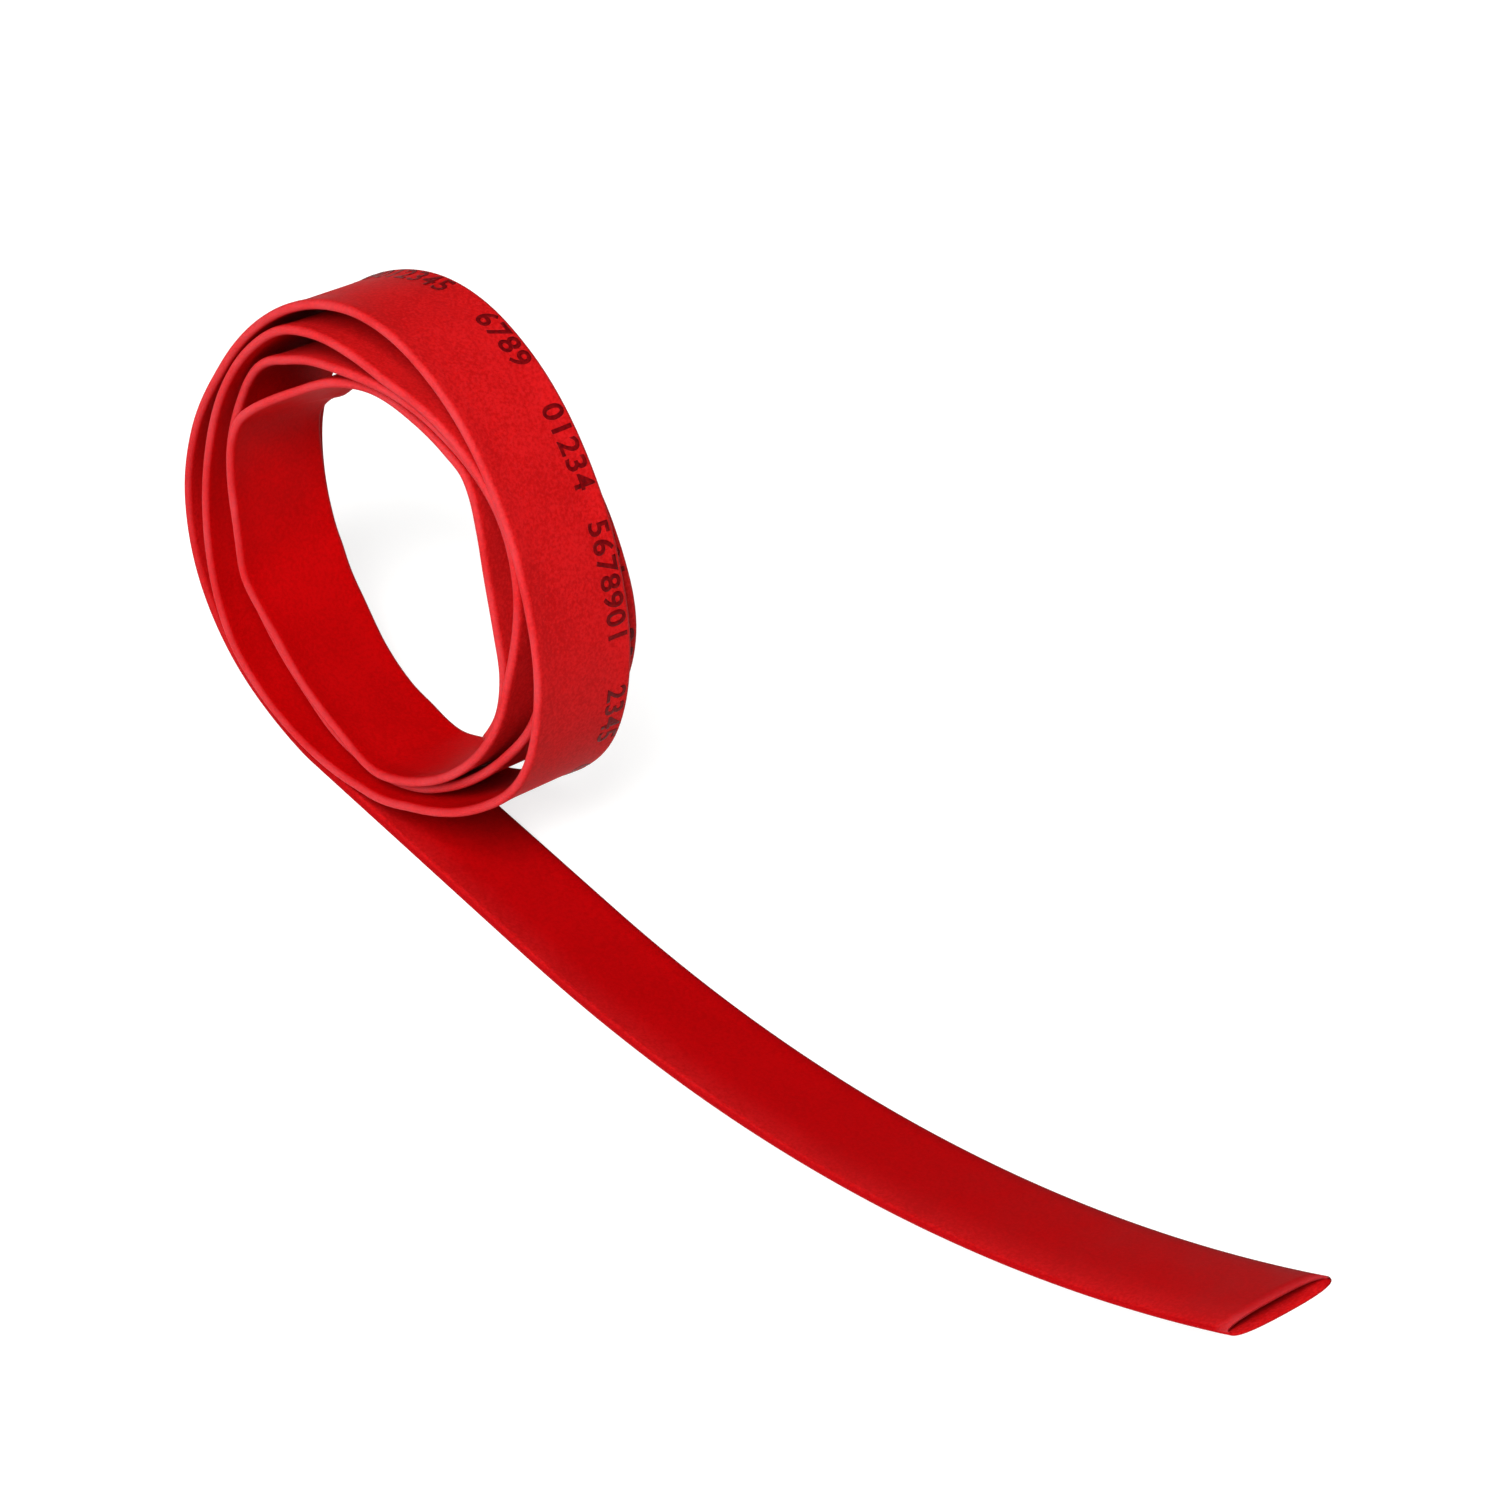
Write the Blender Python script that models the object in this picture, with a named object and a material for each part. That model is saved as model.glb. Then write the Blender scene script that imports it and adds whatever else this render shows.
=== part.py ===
"""Heat shrink tube: about 0.9 m of thin red tube, pressed flat and wound by hand into a loose
roll. The roll stands on the start of its own tail, and the rest of the tail curls up and away.

Units are metres, Z is up and the floor is z = 0. X runs along the tail, Y along the axis of the
roll. The origin is on the floor, under the middle of the whole object.
"""
import math

import bmesh
import bpy
from mathutils import Vector

MM = 0.001

# The flattened tube: 10 mm bore before shrinking
FLAT_WIDTH = 16.0 * MM
WALL = 0.35 * MM
PRESSED_BORE = 0.4 * MM
THICKNESS = 2 * WALL + PRESSED_BORE
LEAST_AIR = 0.5 * MM

# Each cut end springs open over this length
TAIL_END_OPENING = 2.2 * MM
INNER_END_OPENING = 1.3 * MM
OPENING_LENGTH = 30 * MM

# The roll, from its inner end out: degrees round its middle (0 is +X, 90 is up), counted on
# through the turns, and mm from its middle to the tube
ROLL = [
    (-32, 26.9), (-20, 26.0), (-7, 24.2), (6, 22.0), (19, 20.9), (31, 20.9), (44, 22.0),
    (55, 23.5), (62, 24.1), (71, 23.6), (88, 23.2), (107, 23.7), (125, 23.8), (140, 24.1),
    (149, 24.9), (157, 26.1), (164, 27.5), (171, 28.8), (179, 29.1), (188, 28.7), (198, 28.2),
    (208, 28.5), (218, 29.3), (228, 28.4), (237, 27.7), (250, 28.2), (262, 28.8), (270, 29.5),
    (277, 30.7), (283, 31.3), (291, 30.9), (303, 30.0), (320, 29.0), (340, 28.0),
    (360, 26.7), (388, 27.2), (402, 27.3), (418, 26.9), (436, 26.1), (463, 25.4), (477, 25.8),
    (493, 27.3), (503, 28.6), (512, 30.4), (519, 31.2), (529, 31.4), (545, 30.9), (564, 30.4),
    (580, 30.9), (598, 30.3), (612, 30.3), (624, 31.4), (634, 32.5), (642, 33.0), (652, 32.6),
    (664, 31.6), (678, 30.8), (692, 30.5), (706, 30.8), (724, 30.4), (744, 29.3), (772, 28.9),
    (792, 28.1), (815, 27.2), (828, 28.3), (846, 30.8), (857, 32.1), (870, 32.6), (888, 33.2),
    (908, 34.1), (932, 36.2), (944, 37.1), (953, 37.4), (964, 36.7), (980, 35.5), (1000, 34.5),
    (1018, 34.0), (1040, 34.5), (1054, 35.1), (1064, 34.8), (1084, 32.8), (1104, 31.0),
    (1120, 30.6), (1136, 31.0), (1160, 32.7), (1176, 34.0), (1190, 34.5), (1222, 34.2),
    (1236, 34.4), (1248, 35.1), (1266, 37.5), (1280, 39.3), (1296, 40.2), (1312, 39.7),
    (1332, 38.0), (1350, 37.0),
]

# How far each stretch of the roll sits back from the front, in mm along Y
SET_BACK = [
    (-32, 3.0), (0, 2.6), (45, 2.2), (92, 2.0), (120, 1.2), (140, 0.5), (160, 0.0), (178, -0.5),
    (220, -0.4), (260, 0.0), (328, 0.2), (360, 0.8), (390, 1.8), (408, 2.0), (430, 1.3),
    (450, 0.8), (480, 0.4), (500, 1.2), (527, 1.8), (545, 1.0), (590, 1.1), (624, 1.2),
    (640, 2.2), (665, 2.3), (690, 2.7), (712, 3.2), (730, 3.0), (750, 1.8), (770, 0.8),
    (800, 0.2), (830, 0.0), (920, -0.2), (950, -0.8), (985, -0.8), (1020, -0.3), (1050, 0.0),
    (1350, 0.0),
]

# How far the back edge stands out from the roll's middle past the front edge, in mm
LEAN = [
    (-32, 0.0), (135, 0.0), (149, -0.7), (158, -1.4), (164, -1.7), (169, -1.0), (175, 0.0),
    (181, 0.7), (191, 0.4), (201, 0.1), (209, -0.5), (219, -1.6), (228, -0.6), (240, 0.5),
    (262, 1.4), (276, 0.4), (288, -0.2), (310, 0.0), (590, 0.0), (606, 0.8), (622, 1.4),
    (640, 0.5), (660, 0.0), (1350, 0.0),
]

# Height of the roll's middle over the tube's centre line where it meets the floor
ROLL_DROP = 37.0 * MM
TAKE_OFF_ANGLE = 270 + 3 * 360
LANDING_ANGLE = 45

# The tail: a level stretch that the roll stands on, then a slow upward curl
REST_LENGTH = 40 * MM
CURL_LENGTH = 123 * MM
CURL_RADIUS = 210 * MM

# Facets: a new section at each of these steps, whichever comes first
BEND_STEP = math.radians(8.0)
LONGEST_STEP = 11 * MM


def smooth(keys, at):
    """Value of a smooth curve through the keys, held level past the ends."""
    if at <= keys[0][0]:
        return keys[0][1]
    if at >= keys[-1][0]:
        return keys[-1][1]
    i = max(k for k in range(len(keys) - 1) if keys[k][0] <= at)
    (x0, y0), (x1, y1) = keys[i], keys[i + 1]

    def slope(j):
        a, b = keys[max(j - 1, 0)], keys[min(j + 1, len(keys) - 1)]
        return (b[1] - a[1]) / (b[0] - a[0])

    span = x1 - x0
    t = (at - x0) / span
    return ((2 * t**3 - 3 * t**2 + 1) * y0 + (t**3 - 2 * t**2 + t) * span * slope(i)
            + (-2 * t**3 + 3 * t**2) * y1 + (t**3 - t**2) * span * slope(i + 1))


def roll_radius(angle):
    """Distance of the tube's centre line from the roll's middle, degrees counted from inside."""
    radius = smooth(ROLL, angle) * MM
    if angle < ROLL[0][0] + 360:
        return radius
    return max(radius, roll_radius(angle - 360) + THICKNESS + LEAST_AIR)


def above_floor(angle, radius):
    """Radius cut back where the roll would sink under the level line that it stands on."""
    to_go = TAKE_OFF_ANGLE - angle
    if to_go > LANDING_ANGLE:
        return radius
    return min(radius, ROLL_DROP / math.cos(math.radians(to_go)))


def roll_line(step=1.0):
    """Points of the front edge in the roll, with the lean of the section at each."""
    start = ROLL[0][0]
    line = []
    for i in range(round((TAKE_OFF_ANGLE - start) / step) + 1):
        angle = start + i * step
        radius, turn = above_floor(angle, roll_radius(angle)), math.radians(angle)
        point = Vector((radius * math.cos(turn), smooth(SET_BACK, angle) * MM,
                        radius * math.sin(turn)))
        line.append((point, smooth(LEAN, angle) * MM))
    return line


def thinned(line):
    """Only the stations that the facets of the roll need, its two ends among them."""
    kept, bend, run = [line[0]], 0.0, 0.0
    for i in range(1, len(line) - 1):
        before = line[i][0] - line[i - 1][0]
        after = line[i + 1][0] - line[i][0]
        bend += before.angle(after)
        run += before.length
        if bend >= BEND_STEP or run >= LONGEST_STEP:
            kept.append(line[i])
            bend, run = 0.0, 0.0
    return kept + [line[-1]]


def tail_line(start):
    """Points of the front edge along the tail: the end of the level stretch, then the curl."""
    level_end = start + Vector((REST_LENGTH, 0.0, 0.0))
    steps = math.ceil(CURL_LENGTH / LONGEST_STEP)
    line = []
    for i in range(steps + 1):
        turn = i / steps * CURL_LENGTH / CURL_RADIUS
        rise = Vector((math.sin(turn), 0.0, 1 - math.cos(turn)))
        line.append((level_end + CURL_RADIUS * rise, 0.0))
    return line


def front_edge():
    """Stations along the whole front edge, inner end first, each with its lean."""
    roll = thinned(roll_line())
    return roll + tail_line(roll[-1][0])


def section(inset, opening):
    """Outline of the flattened tube as (across, out) pairs, from its outer face inward."""
    half = THICKNESS / 2 - inset
    near, far = THICKNESS / 2, FLAT_WIDTH - THICKNESS / 2
    fold = [math.radians(a) for a in ((90, 135, 180, 225, 270) if inset == 0 else (90, 180, 270))]
    swell = [(s, max(opening - THICKNESS, 0) / 2 * (1 - s * s)) for s in (-0.5, 0.5)]
    across = [((near + far) / 2 + s * (far - near) / 2, half + bulge) for s, bulge in swell]
    ring = [(near + half * math.cos(a), half * math.sin(a)) for a in fold]
    ring += [(c, -h) for c, h in across]
    ring += [(far - half * math.cos(a), -half * math.sin(a)) for a in fold]
    ring += [(c, h) for c, h in reversed(across)]
    return ring


def end_opening(run, length):
    """How far the tube stands open at this distance along it."""
    inner = max(0.0, 1 - run / OPENING_LENGTH) ** 2
    outer = max(0.0, 1 - (length - run) / OPENING_LENGTH) ** 2
    return (THICKNESS + (INNER_END_OPENING - THICKNESS) * inner
            + (TAIL_END_OPENING - THICKNESS) * outer)


def sweep(bm, stations, inset):
    """Rings of vertices of one skin of the tube, at every station."""
    points = [point for point, _ in stations]
    runs = [0.0]
    for a, b in zip(points, points[1:]):
        runs.append(runs[-1] + (b - a).length)
    rings = []
    for i, (point, lean) in enumerate(stations):
        before = (point - points[i - 1]).normalized() if i else None
        after = (points[i + 1] - point).normalized() if i + 1 < len(points) else None
        before, after = before or after, after or before
        along = (before + after).normalized()
        across = (Vector((0, 1, 0)) - along.y * along).normalized()
        out = across.cross(along)
        mitre = 1 / along.dot(after)
        across += lean / FLAT_WIDTH * out
        rings.append([bm.verts.new(point + c * across + h * mitre * out)
                      for c, h in section(inset, end_opening(runs[i], runs[-1]))])
    return rings


def skin(bm, rings, inward):
    """Faces between neighbouring rings."""
    for a, b in zip(rings, rings[1:]):
        for j in range(len(a)):
            k = (j + 1) % len(a)
            face = (a[j], a[k], b[k], b[j])
            bm.faces.new(reversed(face) if inward else face)


def cut_end(bm, outer, inner):
    """Rim of wall that shows at a cut end."""
    edges = [bm.edges.get((ring[j], ring[(j + 1) % len(ring)]))
             for ring in (outer, inner) for j in range(len(ring))]
    bmesh.ops.bridge_loops(bm, edges=edges)


def set_on_floor(bm):
    """Moves the tube so that the origin is on the floor under the middle of its box."""
    low = Vector([min(v.co[i] for v in bm.verts) for i in range(3)])
    high = Vector([max(v.co[i] for v in bm.verts) for i in range(3)])
    middle = (low + high) / 2
    bmesh.ops.translate(bm, verts=bm.verts, vec=-Vector((middle.x, middle.y, low.z)))


def red_plastic():
    material = bpy.data.materials.new("red_polyolefin")
    material.use_nodes = True
    shader = material.node_tree.nodes["Principled BSDF"]
    shader.inputs["Base Color"].default_value = (0.60, 0.006, 0.010, 1)
    shader.inputs["Roughness"].default_value = 0.5
    shader.inputs["Metallic"].default_value = 0.0
    return material


def heat_shrink_tube():
    """The one piece: a flattened tube, open from end to end, swept along its roll and tail."""
    bm = bmesh.new()
    stations = front_edge()
    outside, bore = sweep(bm, stations, 0.0), sweep(bm, stations, WALL)
    skin(bm, outside, inward=False)
    skin(bm, bore, inward=True)
    cut_end(bm, outside[0], bore[0])
    cut_end(bm, outside[-1], bore[-1])
    bmesh.ops.recalc_face_normals(bm, faces=bm.faces)
    set_on_floor(bm)
    mesh = bpy.data.meshes.new("heat_shrink_tube")
    bm.to_mesh(mesh)
    bm.free()
    mesh.materials.append(red_plastic())
    tube = bpy.data.objects.new("heat_shrink_tube", mesh)
    bpy.context.scene.collection.objects.link(tube)
    return tube


for old in list(bpy.context.scene.objects):
    bpy.data.objects.remove(old, do_unlink=True)
heat_shrink_tube()
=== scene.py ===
"""Looks of the heat shrink tube: a length of thin red tube, pressed flat and wound into a loose
roll that stands on the start of its own tail. Units are metres, Z is up, the floor is z = 0."""

import bisect
import itertools
import math

import bmesh
import bpy
from mathutils import Matrix, Vector, noise


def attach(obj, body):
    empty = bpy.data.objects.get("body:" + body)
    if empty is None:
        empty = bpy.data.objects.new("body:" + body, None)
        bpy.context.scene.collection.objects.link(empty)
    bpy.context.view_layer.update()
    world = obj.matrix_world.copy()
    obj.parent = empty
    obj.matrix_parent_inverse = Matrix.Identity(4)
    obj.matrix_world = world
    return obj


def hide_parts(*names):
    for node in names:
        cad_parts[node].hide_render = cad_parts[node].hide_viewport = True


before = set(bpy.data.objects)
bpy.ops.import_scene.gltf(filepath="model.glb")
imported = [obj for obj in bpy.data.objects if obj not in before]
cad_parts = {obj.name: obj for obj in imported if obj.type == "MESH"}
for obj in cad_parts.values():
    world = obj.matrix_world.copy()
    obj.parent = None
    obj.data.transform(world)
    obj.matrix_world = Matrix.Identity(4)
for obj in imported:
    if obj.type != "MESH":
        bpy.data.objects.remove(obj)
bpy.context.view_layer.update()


# The camera stands a little over half a metre away, to the right of the roll's front and well
# above it. It is turned a little on its side, so that the tail runs across the picture.
CAMERA_PLACE = Vector((0.25097, -0.31345, 0.36838))
CAMERA_RIGHT = Vector((0.66936, 0.72001, 0.18316))
CAMERA_UP = Vector((-0.56228, 0.32981, 0.75833))
LENS = 101.09
SENSOR = 36.0

lens_data = bpy.data.cameras.new("camera")
lens_data.sensor_width = SENSOR
lens_data.lens = LENS
camera = bpy.data.objects.new("camera", lens_data)
turn = Matrix((CAMERA_RIGHT, CAMERA_UP, CAMERA_RIGHT.cross(CAMERA_UP))).transposed()
camera.matrix_world = Matrix.Translation(CAMERA_PLACE) @ turn.to_4x4()
bpy.context.scene.collection.objects.link(camera)
bpy.context.scene.camera = camera


# Studio light: one large soft box beside the camera, above it and a little to its left, a wider
# and weaker one low in front, which shines between the turns, and dim white studio walls.
WALL_LIGHT = 0.15
KEY_PLACE = Vector((0.30, -0.81, 0.99))
KEY_SIZE = 0.60
KEY_POWER = 30.5
FILL_PLACE = Vector((0.12, -1.20, 0.42))
FILL_SIZE = 0.90
FILL_POWER = 13.0
LIT_PLACE = Vector((-0.02, 0.0, 0.03))

bpy.context.scene.view_settings.view_transform = "Standard"
world = bpy.data.worlds.new("studio_walls")
world.use_nodes = True
world.node_tree.nodes["Background"].inputs["Color"].default_value = (1.0, 1.0, 1.0, 1.0)
world.node_tree.nodes["Background"].inputs["Strength"].default_value = WALL_LIGHT
bpy.context.scene.world = world


def soft_box(name, place, size, power):
    """A square lamp that looks at the roll."""
    lamp = bpy.data.lights.new(name, "AREA")
    lamp.size = size
    lamp.energy = power
    stand = bpy.data.objects.new(name, lamp)
    aim = (LIT_PLACE - place).to_track_quat("-Z", "Y").to_matrix().to_4x4()
    stand.matrix_world = Matrix.Translation(place) @ aim
    bpy.context.scene.collection.objects.link(stand)


soft_box("key_soft_box", KEY_PLACE, KEY_SIZE, KEY_POWER)
soft_box("fill_soft_box", FILL_PLACE, FILL_SIZE, FILL_POWER)


# The floor is a light table: a wide sheet of opal acrylic, matt, lit from below, so that the
# ground is white and the tube's own shadow stays faint.
TABLE = "a4a4a2"
TABLE_GLOW = 0.75
TABLE_SIZE = 12.0


def colour(hex_code):
    """Linear colour of an sRGB hex code."""
    parts = [int(hex_code[i:i + 2], 16) / 255 for i in (0, 2, 4)]
    return [c / 12.92 if c <= 0.04045 else ((c + 0.055) / 1.055) ** 2.4 for c in parts] + [1.0]


def opal_acrylic():
    material = bpy.data.materials.new("opal_acrylic")
    material.use_nodes = True
    shader = material.node_tree.nodes["Principled BSDF"]
    shader.inputs["Base Color"].default_value = colour(TABLE)
    shader.inputs["Roughness"].default_value = 0.9
    shader.inputs["Specular IOR Level"].default_value = 0.1
    shader.inputs["Emission Color"].default_value = (1.0, 1.0, 1.0, 1.0)
    shader.inputs["Emission Strength"].default_value = TABLE_GLOW
    return material


def lay_table():
    bm = bmesh.new()
    bmesh.ops.create_grid(bm, x_segments=1, y_segments=1, size=TABLE_SIZE / 2)
    mesh = bpy.data.meshes.new("light_table")
    bm.to_mesh(mesh)
    bm.free()
    mesh.materials.append(opal_acrylic())
    floor = bpy.data.objects.new("light_table", mesh)
    bpy.context.scene.collection.objects.link(floor)


lay_table()


# The tube is extruded polyolefin, 10 mm in the bore, pressed flat between rollers so that its
# two walls nearly touch and its sides are two round folds. It is wound by hand, inner end first:
# nearly four loose turns with air between them, then a level stretch and a tail that curls up.
MM = 0.001
FLAT_WIDTH = 16.0 * MM
WALL = 0.35 * MM
THICKNESS = 1.1 * MM
LEAST_AIR = 0.5 * MM

# The pressed section is thicker in its folds than between them, and both waver along the tube
FOLD_THICKNESS = 1.28 * MM
FOLD_WAVER = 0.10 * MM
FOLD_WAVE = 17 * MM
PRESSED_THICKNESS = 0.92 * MM
PRESSED_WAVER = 0.12 * MM
PRESSED_WAVE = 23 * MM
PRESSED_SHOULDER = 2.6 * MM
WAVER_ROWS_APART = 7.3

# The cut ends spring open, the tail over a longer stretch than the inner end. The tail was cut
# by hand, a little askew, and its upper wall ends just short of the lower one.
TAIL_END_THICKNESS = 1.9 * MM
TAIL_END_ROUNDNESS = 2.4
TAIL_OPENING_LENGTH = 130 * MM
TAIL_OPENING_POWER = 1.5
INNER_END_THICKNESS = 1.3 * MM
INNER_OPENING_LENGTH = 14 * MM
OPEN_SHOULDER = 6.4 * MM
CUT_ASKEW = 1.7 * MM
UPPER_WALL_SHORT = 1.2 * MM
CUT_ASKEW_LENGTH = 30 * MM

# The roll, from its inner end out: degrees round its middle (0 is +X, 90 is up), counted on
# through the turns, and mm from its middle to the tube
ROLL = [
    (-32, 26.9), (-20, 26.0), (-7, 24.2), (6, 22.0), (19, 20.9), (31, 20.9), (44, 22.0),
    (55, 23.5), (62, 24.1), (71, 23.6), (88, 23.2), (107, 23.7), (125, 23.8), (140, 24.1),
    (149, 24.9), (157, 26.1), (164, 27.5), (171, 28.8), (179, 29.1), (188, 28.7), (198, 28.2),
    (208, 28.5), (218, 29.3), (228, 28.4), (237, 27.7), (250, 28.2), (262, 28.8), (270, 29.5),
    (277, 30.7), (283, 31.3), (291, 30.9), (303, 30.0), (320, 29.0), (340, 28.0),
    (360, 26.7), (388, 27.2), (402, 27.3), (418, 26.9), (436, 26.1), (463, 25.4), (477, 25.8),
    (493, 27.3), (503, 28.6), (512, 30.4), (519, 31.2), (529, 31.4), (545, 30.9), (564, 30.4),
    (580, 30.9), (598, 30.3), (612, 30.3), (624, 31.4), (634, 32.5), (642, 33.0), (652, 32.6),
    (664, 31.6), (678, 30.8), (692, 30.5), (706, 30.8), (724, 30.4), (744, 29.3), (772, 28.9),
    (792, 28.1), (815, 27.2), (828, 28.3), (846, 30.8), (857, 32.1), (870, 32.6), (888, 33.2),
    (908, 34.1), (932, 36.2), (944, 37.1), (953, 37.4), (964, 36.7), (980, 35.5), (1000, 34.5),
    (1018, 34.0), (1040, 34.5), (1054, 35.1), (1064, 34.8), (1084, 32.8), (1104, 31.0),
    (1120, 30.6), (1136, 31.0), (1160, 32.7), (1176, 34.0), (1190, 34.5), (1222, 34.2),
    (1236, 34.4), (1248, 35.1), (1266, 37.5), (1280, 39.3), (1296, 40.2), (1312, 39.7),
    (1332, 38.0), (1350, 37.0),
]

# How far each stretch of the roll sits back from the front, in mm along Y
SET_BACK = [
    (-32, 3.0), (0, 2.6), (45, 2.2), (92, 2.0), (120, 1.2), (140, 0.5), (160, 0.0), (178, -0.5),
    (220, -0.4), (260, 0.0), (328, 0.2), (360, 0.8), (390, 1.8), (408, 2.0), (430, 1.3),
    (450, 0.8), (480, 0.4), (500, 1.2), (527, 1.8), (545, 1.0), (590, 1.1), (624, 1.2),
    (640, 2.2), (665, 2.3), (690, 2.7), (712, 3.2), (730, 3.0), (750, 1.8), (770, 0.8),
    (800, 0.2), (830, 0.0), (920, -0.2), (950, -0.8), (985, -0.8), (1020, -0.3), (1050, 0.0),
    (1350, 0.0),
]

# How far the back edge stands out from the roll's middle past the front edge, in mm
LEAN = [
    (-32, 0.0), (135, 0.0), (149, -0.7), (158, -1.4), (164, -1.7), (169, -1.0), (175, 0.0),
    (181, 0.7), (191, 0.4), (201, 0.1), (209, -0.5), (219, -1.6), (228, -0.6), (240, 0.5),
    (262, 1.4), (276, 0.4), (288, -0.2), (310, 0.0), (590, 0.0), (606, 0.8), (622, 1.4),
    (640, 0.5), (660, 0.0), (1350, 0.0),
]

# Under the roll the tube comes down to the floor, lies level, and then curls up to its end
ROLL_MIDDLE = Vector((-59.30, -9.17, 37.55)) * MM
ROLL_DROP = 37.0 * MM
TAKE_OFF_ANGLE = 270 + 3 * 360
LANDING_ANGLE = 45
REST_LENGTH = 40 * MM
CURL_LENGTH = 123 * MM
CURL_RADIUS = 210 * MM

# How finely the tube is meshed along the roll (degrees), along the tail and round its girth
ROLL_STEP = 2
TAIL_STEP = 2 * MM
FOLD_POINTS = 9
FACE_POINTS = 13
SEAM = 0.001 * MM

# Marks on the surface: the roll's folds are pale, partly stressed by the rollers and partly a
# painted highlight, and the tail's upper lip has a painted highlight. The tail gets painted
# shade all over, most of all along its far side and in its folds, and a painted sheen along its
# near side.
FOLD_MARK = 0.7 * MM
FOLD_MARK_FADE = 80 * MM
LIP_MARK = 0.9
TAIL_SHADE = 0.3
FAR_SHADE = 0.8
FAR_SHADE_WIDTH = 3.5 * MM
PAINTED_SHEEN_WIDTH = 6.0 * MM


def eased(t):
    """0 to 1 in a soft S, held past both ends."""
    t = min(max(t, 0.0), 1.0)
    return t * t * (3 - 2 * t)


def smooth(keys, at):
    """Value of a smooth curve through the keys, held level past the ends."""
    if at <= keys[0][0]:
        return keys[0][1]
    if at >= keys[-1][0]:
        return keys[-1][1]
    i = max(k for k in range(len(keys) - 1) if keys[k][0] <= at)
    (x0, y0), (x1, y1) = keys[i], keys[i + 1]

    def slope(j):
        a, b = keys[max(j - 1, 0)], keys[min(j + 1, len(keys) - 1)]
        return (b[1] - a[1]) / (b[0] - a[0])

    span = x1 - x0
    t = (at - x0) / span
    return ((2 * t**3 - 3 * t**2 + 1) * y0 + (t**3 - 2 * t**2 + t) * span * slope(i)
            + (-2 * t**3 + 3 * t**2) * y1 + (t**3 - t**2) * span * slope(i + 1))


def roll_radius(angle):
    """Distance of the tube's centre line from the roll's middle, degrees counted from inside."""
    radius = smooth(ROLL, angle) * MM
    if angle < ROLL[0][0] + 360:
        return radius
    return max(radius, roll_radius(angle - 360) + THICKNESS + LEAST_AIR)


def front_edge():
    """Points along the tube's front edge with the lean at each: the roll, then the tail."""
    line = []
    for angle in range(ROLL[0][0], TAKE_OFF_ANGLE + 1, ROLL_STEP):
        radius, to_go = roll_radius(angle), TAKE_OFF_ANGLE - angle
        if to_go <= LANDING_ANGLE:
            radius = min(radius, ROLL_DROP / math.cos(math.radians(to_go)))
        turned = math.radians(angle)
        point = Vector((radius * math.cos(turned), smooth(SET_BACK, angle) * MM,
                        radius * math.sin(turned)))
        line.append((ROLL_MIDDLE + point, smooth(LEAN, angle) * MM))
    take_off = line[-1][0]
    for i in range(1, round(REST_LENGTH / TAIL_STEP)):
        line.append((take_off + Vector((i * TAIL_STEP, 0, 0)), 0.0))
    steps = round(CURL_LENGTH / TAIL_STEP)
    for i in range(steps + 1):
        curl = i / steps * CURL_LENGTH / CURL_RADIUS
        rise = CURL_RADIUS * Vector((math.sin(curl), 0.0, 1 - math.cos(curl)))
        line.append((take_off + Vector((REST_LENGTH, 0, 0)) + rise, 0.0))
    return line


def measured(line):
    """Length run so far, point, and the across and outward directions at each station."""
    stations, run = [], 0.0
    for i, (point, lean) in enumerate(line):
        if i:
            run += (point - line[i - 1][0]).length
        before = (point - line[i - 1][0]).normalized() if i else None
        after = (line[i + 1][0] - point).normalized() if i + 1 < len(line) else None
        before, after = before or after, after or before
        along = (before + after).normalized()
        across = (Vector((0, 1, 0)) - along.y * along).normalized()
        out = across.cross(along)
        across += lean / FLAT_WIDTH * out
        stations.append((run, point, across, out / along.dot(after)))
    return stations


STATIONS = measured(front_edge())
RUNS = [station[0] for station in STATIONS]
LENGTH = RUNS[-1]


def wound(run, across, out):
    """Where a place on the straight tube ends up once the tube is cut and wound."""
    i = min(max(bisect.bisect_right(RUNS, run) - 1, 0), len(RUNS) - 2)
    short = CUT_ASKEW * (1 - across / FLAT_WIDTH)
    short += UPPER_WALL_SHORT * eased(0.5 - out / TAIL_END_THICKNESS)
    short *= eased(1 - (LENGTH - run) / CUT_ASKEW_LENGTH)
    part = (run - short - RUNS[i]) / (RUNS[i + 1] - RUNS[i])
    point, side, up = (STATIONS[i][k].lerp(STATIONS[i + 1][k], part) for k in (1, 2, 3))
    return point + across * side + out * up


def waver(run, wave, size, row):
    """Slow, uneven change along the tube, up to about size either way."""
    return size * noise.noise(Vector((run / wave, row * WAVER_ROWS_APART, 0.5)))


def tail_openness(run):
    """0 where the tube is pressed flat, 1 at the tail's cut end."""
    return (1 - eased((LENGTH - run) / TAIL_OPENING_LENGTH)) ** TAIL_OPENING_POWER


def fold_thickness(run):
    return FOLD_THICKNESS + waver(run, FOLD_WAVE, FOLD_WAVER, 1)


def half_thickness(run, across):
    """Half of the tube's thickness at a place on its flat width: pressed, or sprung open."""
    fold = fold_thickness(run)
    inner, outer = 1 - eased(run / INNER_OPENING_LENGTH), tail_openness(run)
    flat = PRESSED_THICKNESS + waver(run, PRESSED_WAVE, PRESSED_WAVER, 2)
    flat += (INNER_END_THICKNESS - flat) * inner
    shoulder = PRESSED_SHOULDER + (OPEN_SHOULDER - PRESSED_SHOULDER) * inner
    from_fold = min(across, FLAT_WIDTH - across) - fold / 2
    if from_fold < 0:
        pressed = math.sqrt(max((fold / 2) ** 2 - from_fold ** 2, 0.0))
    else:
        pressed = (fold + (flat - fold) * eased(from_fold / shoulder)) / 2
    aside = min(abs(2 * across / FLAT_WIDTH - 1), 1.0) ** TAIL_END_ROUNDNESS
    opened = TAIL_END_THICKNESS / 2 * (1 - aside) ** (1 / TAIL_END_ROUNDNESS)
    return pressed + (opened - pressed) * outer


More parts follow.
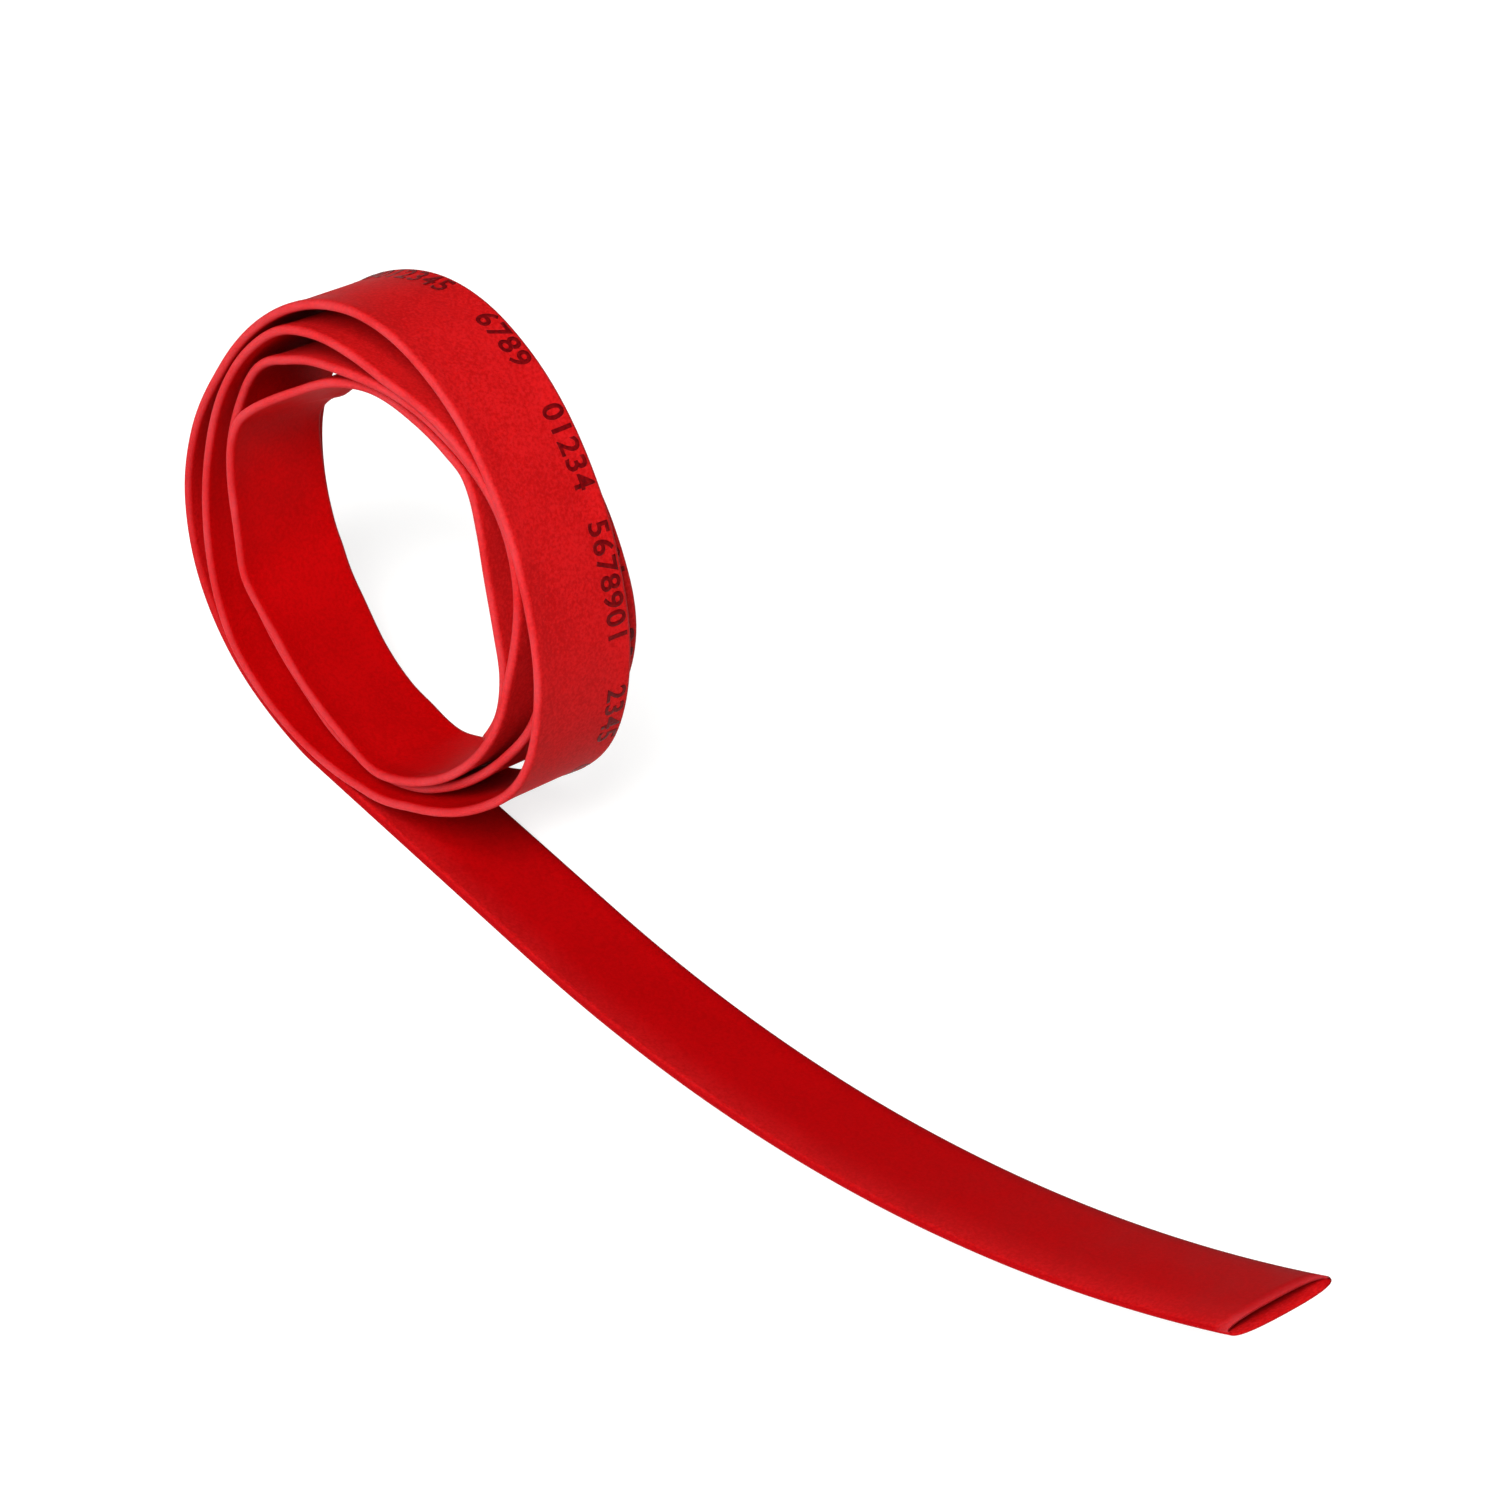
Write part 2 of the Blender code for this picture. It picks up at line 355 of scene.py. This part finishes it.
def round_the_section(run):
    """Outline at one place: outer face from far to near, near fold, inner face, far fold."""
    fold, mid = fold_thickness(run) / 2, FOLD_POINTS // 2
    near, far = fold, FLAT_WIDTH - fold
    shares = [0.5 - 0.5 * math.cos(math.pi * (k + 1) / (FACE_POINTS + 1))
              for k in range(FACE_POINTS)]
    face = [near + share * (far - near) for share in shares]
    bend = [(fold * (1 - math.sin(math.pi * k / (FOLD_POINTS - 1))), (k < mid) - (k > mid))
            for k in range(FOLD_POINTS)]
    ring = [(c, half_thickness(run, c)) for c in reversed(face)]
    ring += [(c, side * half_thickness(run, c)) for c, side in bend]
    ring += [(c, -half_thickness(run, c)) for c in face]
    ring += [(FLAT_WIDTH - c, -side * half_thickness(run, c)) for c, side in bend]
    return ring


def surface_marks(run, across, out):
    """How pale the folds are (stress and painted highlight), and how much painted shade and
    painted sheen the red gets at a place on the tube.
    """
    edge = 1 - eased(min(across, FLAT_WIDTH - across) / FOLD_MARK)
    on_roll = eased((LENGTH - CURL_LENGTH - REST_LENGTH - run) / FOLD_MARK_FADE)
    # The pale mark on the tail's upper lip is a painted highlight
    lip = LIP_MARK if out < 0 and run == LENGTH else 0.0
    # Painted shade along the tail's far side, where it turns from the light
    far_side = FAR_SHADE * eased(1 - (FLAT_WIDTH - across) / FAR_SHADE_WIDTH)
    # Painted sheen along the tail's near side and on the outward faces; faces without it get the
    # darker red as painted shade
    near_side = eased(1 - across / PAINTED_SHEEN_WIDTH)
    return {"fold": max(edge * on_roll, lip),
            "shade": (1 - on_roll) * max(edge, TAIL_SHADE, far_side),
            "painted_sheen": max(eased(0.5 + out / FOLD_THICKNESS), (1 - on_roll) * near_side)}


def tube_mesh():
    """A flat sheet as long as the tube and as wide as its girth, closed up and wound."""
    bm = bmesh.new()
    uv = bm.loops.layers.uv.new("length_and_girth")
    marks = {name: bm.verts.layers.float.new(name) for name in ("fold", "shade", "painted_sheen")}
    sides = 2 * (FOLD_POINTS + FACE_POINTS)
    bmesh.ops.create_grid(bm, x_segments=len(RUNS) - 1, y_segments=sides, size=0.5)
    sections = [round_the_section(run) for run in RUNS]
    for face in bm.faces:
        for loop in face.loops:
            u, v = loop.vert.co.x + 0.5, loop.vert.co.y + 0.5
            loop[uv].uv = (RUNS[round(u * (len(RUNS) - 1))], v * 2 * FLAT_WIDTH)
    for vert in bm.verts:
        i = round((vert.co.x + 0.5) * (len(RUNS) - 1))
        j = round((vert.co.y + 0.5) * sides) % sides
        across, out = sections[i][j]
        vert.co = wound(RUNS[i], across, out)
        for name, value in surface_marks(RUNS[i], across, out).items():
            vert[marks[name]] = value
    bmesh.ops.remove_doubles(bm, verts=bm.verts, dist=SEAM)
    bmesh.ops.recalc_face_normals(bm, faces=bm.faces)
    for face in bm.faces:
        face.smooth = True
    mesh = bpy.data.meshes.new("wound_tube")
    bm.to_mesh(mesh)
    bm.free()
    return mesh


# Red polyolefin, extruded: a soft, faintly waxy plastic that lets a little light through. The
# eye gets a deep even red with a fine mottled grain and a dull gloss. Faces toward the roll's
# middle get a darker red, painted shade, and outward faces a lighter, whiter red, painted sheen;
# the folds are paler, partly stressed by the rollers and partly a painted highlight.
# The inside reds are painted shade and the outside reds carry a painted sheen, on one and the
# same red
SHADED_INSIDE_RED = "9c0002"
SHADED_INSIDE_RED_DEEP = "8c0001"
SHEENED_OUTSIDE_RED = "ae1214"
SHEENED_OUTSIDE_RED_DEEP = "960a0c"
# The fold red is partly stress whitening and partly a painted highlight
FOLD_RED = "93363b"
# The shade red is painted shade on the tail
SHADE_RED = "7c0003"
GRAIN_SIZE = 0.42 * MM
GRAIN_WEIGHT = 3.0
MOTTLE_MIDDLE = (GRAIN_WEIGHT + 1) / 2
MOTTLE_SPREAD = 0.35
CLOUD_SIZE = 9 * MM
CLOUD_RANGE = (0.3, 0.7)
FOLD_PALENESS = (0.2, 0.6)
ROUGHNESS = (0.55, 0.68)
DIE_LINE_SPACING = 0.6 * MM
DIE_LINE_LENGTH = 1 / 12
DIE_LINE_WEIGHT = 0.35
RELIEF = 0.05 * MM
RELIEF_STRENGTH = 0.35
LIGHT_DEPTH = 0.8 * MM


def add(tree, kind, inputs=None, **settings):
    """One node with its settings; an input is a value or the output of another node."""
    node = tree.nodes.new(kind)
    for name, value in settings.items():
        setattr(node, name, value)
    for name, value in (inputs or {}).items():
        if isinstance(value, bpy.types.NodeSocket):
            tree.links.new(value, node.inputs[name])
        else:
            node.inputs[name].default_value = value
    return node


def ranged(tree, value, low, high, start=0.0, end=1.0):
    """A noise value spread from low..high over start..end."""
    return add(tree, "ShaderNodeMapRange", {"Value": value, "From Min": low, "From Max": high,
                                            "To Min": start, "To Max": end}).outputs["Result"]


def mixed(tree, share, first, second):
    """A blend of two colours."""
    return add(tree, "ShaderNodeMix", {0: share, 6: first, 7: second},
               data_type="RGBA").outputs[2]


def red_polyolefin():
    material = bpy.data.materials.new("red_polyolefin")
    material.use_nodes = True
    tree = material.node_tree
    shader = tree.nodes["Principled BSDF"]
    place = add(tree, "ShaderNodeTexCoord").outputs["Object"]
    grain = add(tree, "ShaderNodeTexNoise", {"Vector": place, "Scale": 1 / GRAIN_SIZE,
                                             "Detail": 3.0, "Roughness": 0.6}).outputs["Fac"]
    cloud = add(tree, "ShaderNodeTexNoise", {"Vector": place, "Scale": 1 / CLOUD_SIZE,
                                             "Detail": 4.0, "Roughness": 0.55}).outputs["Fac"]
    flat = add(tree, "ShaderNodeUVMap", uv_map="length_and_girth").outputs["UV"]
    drawn = add(tree, "ShaderNodeMapping",
                {"Vector": flat, "Scale": (1 / DIE_LINE_LENGTH, 1 / DIE_LINE_SPACING, 1.0)})
    lines = add(tree, "ShaderNodeTexNoise", {"Vector": drawn.outputs["Vector"], "Scale": 1.0,
                                             "Detail": 2.0}).outputs["Fac"]
    fold, shade, painted_sheen = (add(tree, "ShaderNodeAttribute", attribute_name=name).outputs["Fac"]
                         for name in ("fold", "shade", "painted_sheen"))
    speckle = add(tree, "ShaderNodeMath", {0: grain, 1: GRAIN_WEIGHT, 2: cloud},
                  operation="MULTIPLY_ADD").outputs["Value"]
    mottle = ranged(tree, speckle, MOTTLE_MIDDLE - MOTTLE_SPREAD, MOTTLE_MIDDLE + MOTTLE_SPREAD)
    # Faces toward the roll's middle take the darker red as painted shade, outward faces the
    # whiter red as painted sheen
    shaded_inside = mixed(tree, mottle, colour(SHADED_INSIDE_RED_DEEP), colour(SHADED_INSIDE_RED))
    sheened_outside = mixed(tree, mottle, colour(SHEENED_OUTSIDE_RED_DEEP), colour(SHEENED_OUTSIDE_RED))
    # SHADE_RED goes on as painted shade over the tail
    body = mixed(tree, shade, mixed(tree, painted_sheen, shaded_inside, sheened_outside), colour(SHADE_RED))
    # Pale folds: partly stress whitening, partly a painted highlight
    pale = add(tree, "ShaderNodeMath", {0: fold, 1: ranged(tree, cloud, *CLOUD_RANGE,
                                                           *FOLD_PALENESS)},
               operation="MULTIPLY").outputs["Value"]
    relief = add(tree, "ShaderNodeMath", {0: lines, 1: DIE_LINE_WEIGHT, 2: grain},
                 operation="MULTIPLY_ADD").outputs["Value"]
    bump = add(tree, "ShaderNodeBump", {"Height": relief, "Strength": RELIEF_STRENGTH,
                                        "Distance": RELIEF}).outputs["Normal"]
    tree.links.new(mixed(tree, pale, body, colour(FOLD_RED)), shader.inputs["Base Color"])
    tree.links.new(ranged(tree, cloud, *CLOUD_RANGE, *ROUGHNESS), shader.inputs["Roughness"])
    tree.links.new(bump, shader.inputs["Normal"])
    shader.inputs["Subsurface Weight"].default_value = 0.45
    shader.inputs["Subsurface Radius"].default_value = (1.0, 0.15, 0.1)
    shader.inputs["Subsurface Scale"].default_value = LIGHT_DEPTH
    shader.inputs["IOR"].default_value = 1.5
    shader.inputs["Specular IOR Level"].default_value = 0.03
    return material


tube = bpy.data.objects.new("tube_wall", tube_mesh())
tube.data.materials.append(red_polyolefin())
bpy.context.scene.collection.objects.link(tube)
wall = tube.modifiers.new("wall", "SOLIDIFY")
wall.thickness = WALL
wall.offset = -1.0
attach(tube, "root")
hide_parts("heat_shrink_tube")


# The print is a row of dark figures, jetted on the outer face as the tube was made, close to its
# far edge. Here it is plain counting figures, in groups, with nothing else between them.
FIGURE_HEIGHT = 3.0 * MM
FIGURE_BASE = 12.2 * MM
FIGURE_BOLD = 0.02
FIGURE_CURVE_STEPS = 5
FIGURE_PITCH = 2.35 * MM
PRINT_START = 811.3 * MM
PRINT_END = 20 * MM

# Figures in each group, and mm of bare tube after it
GROUPS = ((4, 5.6), (5, 3.8), (7, 6.0), (4, 5.6), (8, 6.2))

# The ink stands a hair above the wall, reaches as far into it, and bends with it in strips
INK_LIFT = 0.03 * MM
INK_SINK = 0.04 * MM
INK_STRIP = 0.45 * MM
INK_STRIPS = range(-1, 8)


def figure_mesh(figure):
    """One figure of the built-in sans face, as a flat mesh standing on its baseline."""
    outline = bpy.data.curves.new("figure", "FONT")
    outline.body = figure
    outline.offset = FIGURE_BOLD
    outline.resolution_u = FIGURE_CURVE_STEPS
    holder = bpy.data.objects.new("figure", outline)
    bpy.context.scene.collection.objects.link(holder)
    seen = holder.evaluated_get(bpy.context.evaluated_depsgraph_get())
    flat = bpy.data.meshes.new_from_object(seen)
    bpy.data.objects.remove(holder)
    bpy.data.curves.remove(outline)
    return flat


def figure_on_tube(flat, size, run):
    """A figure cut into narrow strips both ways, thickened, and laid on the outer face."""
    bm = bmesh.new()
    bm.from_mesh(flat)
    bmesh.ops.scale(bm, vec=(size, size, size), verts=bm.verts)
    for k, way in itertools.product(INK_STRIPS, ((1, 0, 0), (0, 1, 0))):
        bmesh.ops.bisect_plane(bm, geom=bm.verts[:] + bm.edges[:] + bm.faces[:],
                               plane_co=k * INK_STRIP * Vector(way), plane_no=way)
    raised = bmesh.ops.extrude_face_region(bm, geom=bm.faces[:])["geom"]
    top = {v for v in raised if isinstance(v, bmesh.types.BMVert)}
    for vert in bm.verts:
        at, across = run - vert.co.x, FIGURE_BASE + vert.co.y
        lift = INK_LIFT if vert in top else -INK_SINK
        vert.co = wound(at, across, half_thickness(at, across) + lift)
    bmesh.ops.recalc_face_normals(bm, faces=bm.faces)
    laid = bpy.data.meshes.new("figure_laid")
    bm.to_mesh(laid)
    bm.free()
    return laid


def print_mesh():
    """Counting figures, group after group, from the tail end of the print to the inner end."""
    bm = bmesh.new()
    flats = [figure_mesh(figure) for figure in "0123456789"]
    size = FIGURE_HEIGHT / max(v.co.y for v in flats[1].vertices)
    counting, groups, run = itertools.cycle(flats), itertools.cycle(GROUPS), PRINT_START
    while run > PRINT_END:
        figures, gap = next(groups)
        for _ in range(figures):
            laid = figure_on_tube(next(counting), size, run)
            bm.from_mesh(laid)
            bpy.data.meshes.remove(laid)
            run -= FIGURE_PITCH
        run -= gap * MM
    mesh = bpy.data.meshes.new("counting_figures")
    bm.to_mesh(mesh)
    bm.free()
    return mesh


# Jet ink soaked into the plastic. The eye gets a very dark, nearly matt red, a little lighter
# where the head skipped and laid the ink thin.
INK = "4c0003"
INK_THIN = "660305"
INK_SKIP_SIZE = 0.5 * MM
INK_SKIPS = (0.35, 0.7)


def dark_ink():
    material = bpy.data.materials.new("dark_ink")
    material.use_nodes = True
    tree = material.node_tree
    shader = tree.nodes["Principled BSDF"]
    place = add(tree, "ShaderNodeTexCoord").outputs["Object"]
    skips = add(tree, "ShaderNodeTexNoise", {"Vector": place, "Scale": 1 / INK_SKIP_SIZE,
                                             "Detail": 3.0}).outputs["Fac"]
    body = mixed(tree, ranged(tree, skips, *INK_SKIPS), colour(INK), colour(INK_THIN))
    tree.links.new(body, shader.inputs["Base Color"])
    shader.inputs["Roughness"].default_value = 0.5
    shader.inputs["Specular IOR Level"].default_value = 0.06
    return material


printed = bpy.data.objects.new("counting_figures", print_mesh())
printed.data.materials.append(dark_ink())
bpy.context.scene.collection.objects.link(printed)
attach(printed, "root")
